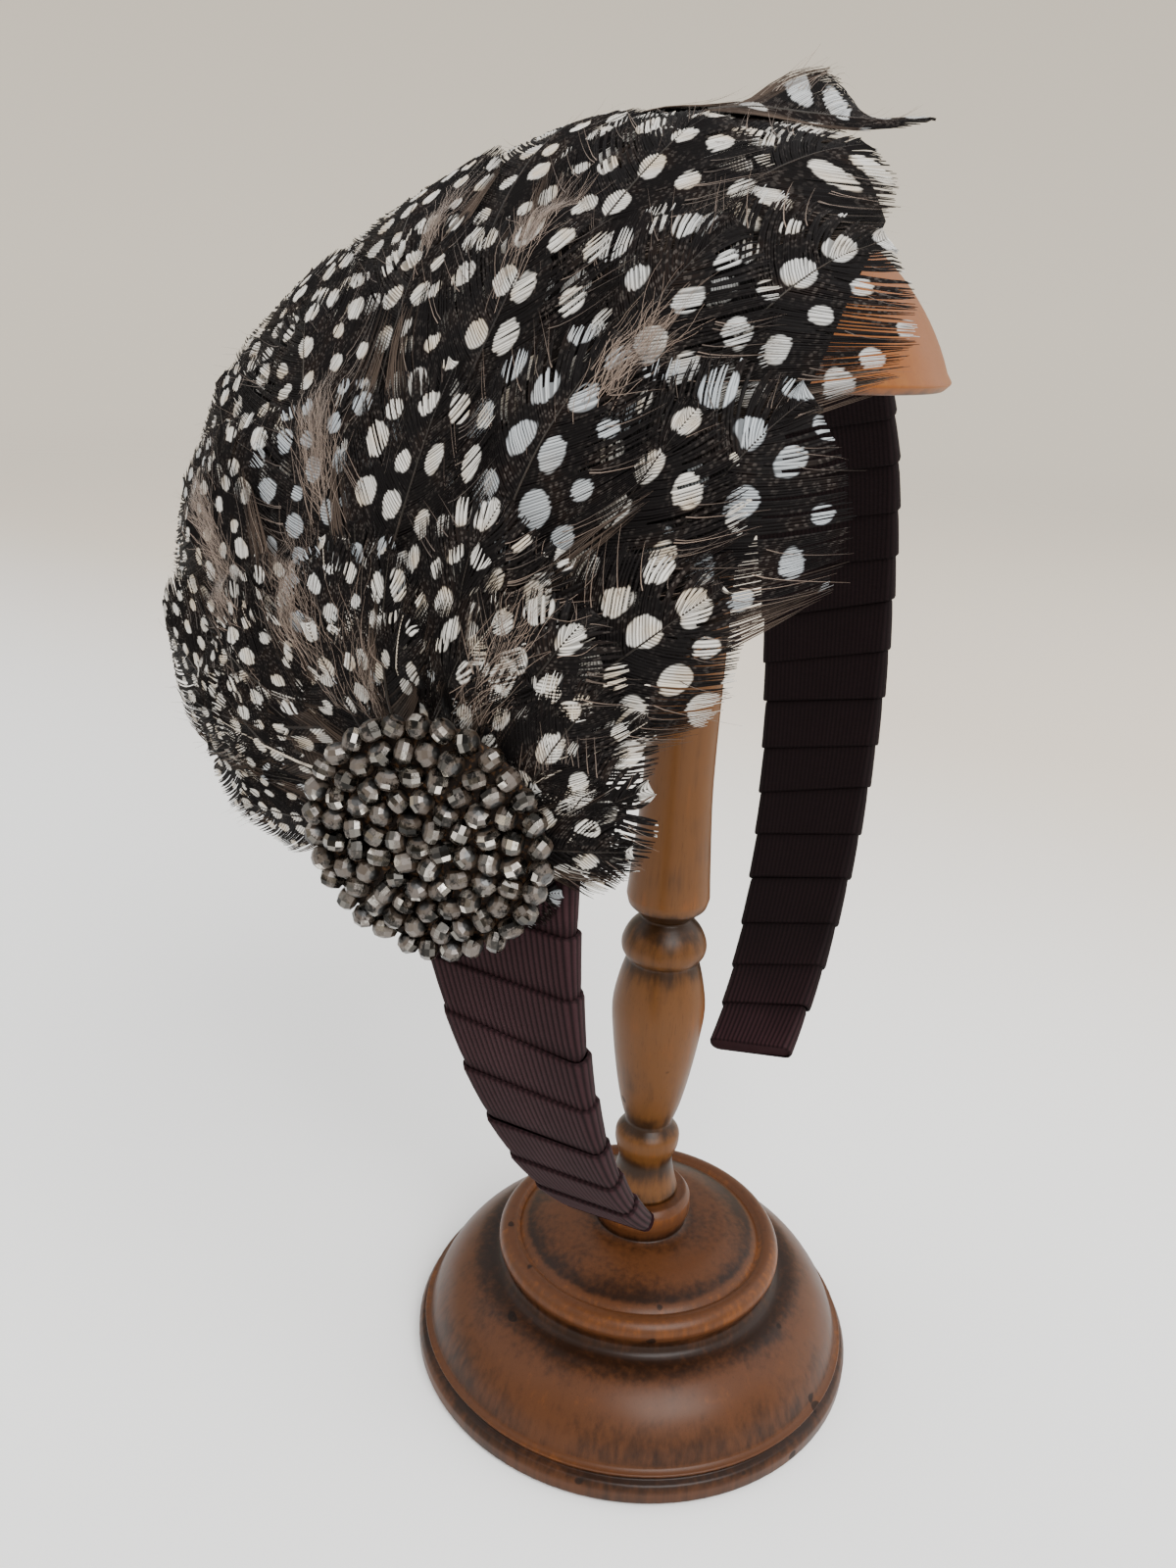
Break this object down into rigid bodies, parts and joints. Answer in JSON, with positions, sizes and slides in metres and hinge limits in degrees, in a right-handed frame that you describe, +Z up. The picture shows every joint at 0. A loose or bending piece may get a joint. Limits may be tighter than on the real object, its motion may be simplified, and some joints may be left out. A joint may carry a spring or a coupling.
{
  "type": "feather headband on stand",
  "caption": "Ribbon-wrapped headband covered with spotted guinea fowl feathers and a round patch of cut-steel beads, hanging on a small turned wooden stand.",
  "frame": {"origin": "centre of the stand's foot, on its underside", "axes": "+Z up along the stand's axis, +X from the feathered leg of the headband to its plain leg"},
  "size_m": [0.1376, 0.1198, 0.2243],
  "materials": {
    "wood": "satin",
    "ribbon": "matte",
    "felt": "matte",
    "feather": "satin",
    "steel": "satin"
  },
  "bodies": {
    "root": {"stand_base": "wood", "stand_column": "wood", "stand_cap": "wood", "headband": "ribbon", "feather_backing": "felt", "bead_ornament": "steel", "feather_01": "feather", "feather_02": "feather", "feather_03": "feather", "feather_04": "feather", "feather_05": "feather", "feather_06": "feather", "feather_07": "feather", "feather_08": "feather", "feather_09": "feather", "feather_10": "feather", "feather_11": "feather", "feather_12": "feather", "feather_13": "feather", "feather_14": "feather", "feather_15": "feather", "feather_16": "feather", "feather_17": "feather", "feather_18": "feather", "feather_19": "feather", "feather_20": "feather", "feather_21": "feather", "feather_22": "feather", "feather_23": "feather", "feather_24": "feather", "feather_25": "feather", "feather_26": "feather", "feather_27": "feather", "feather_28": "feather", "feather_29": "feather", "feather_30": "feather", "feather_31": "feather", "feather_32": "feather", "feather_33": "feather", "feather_34": "feather", "feather_35": "feather", "feather_36": "feather", "feather_37": "feather", "feather_38": "feather"}
  },
  "joints": []
}
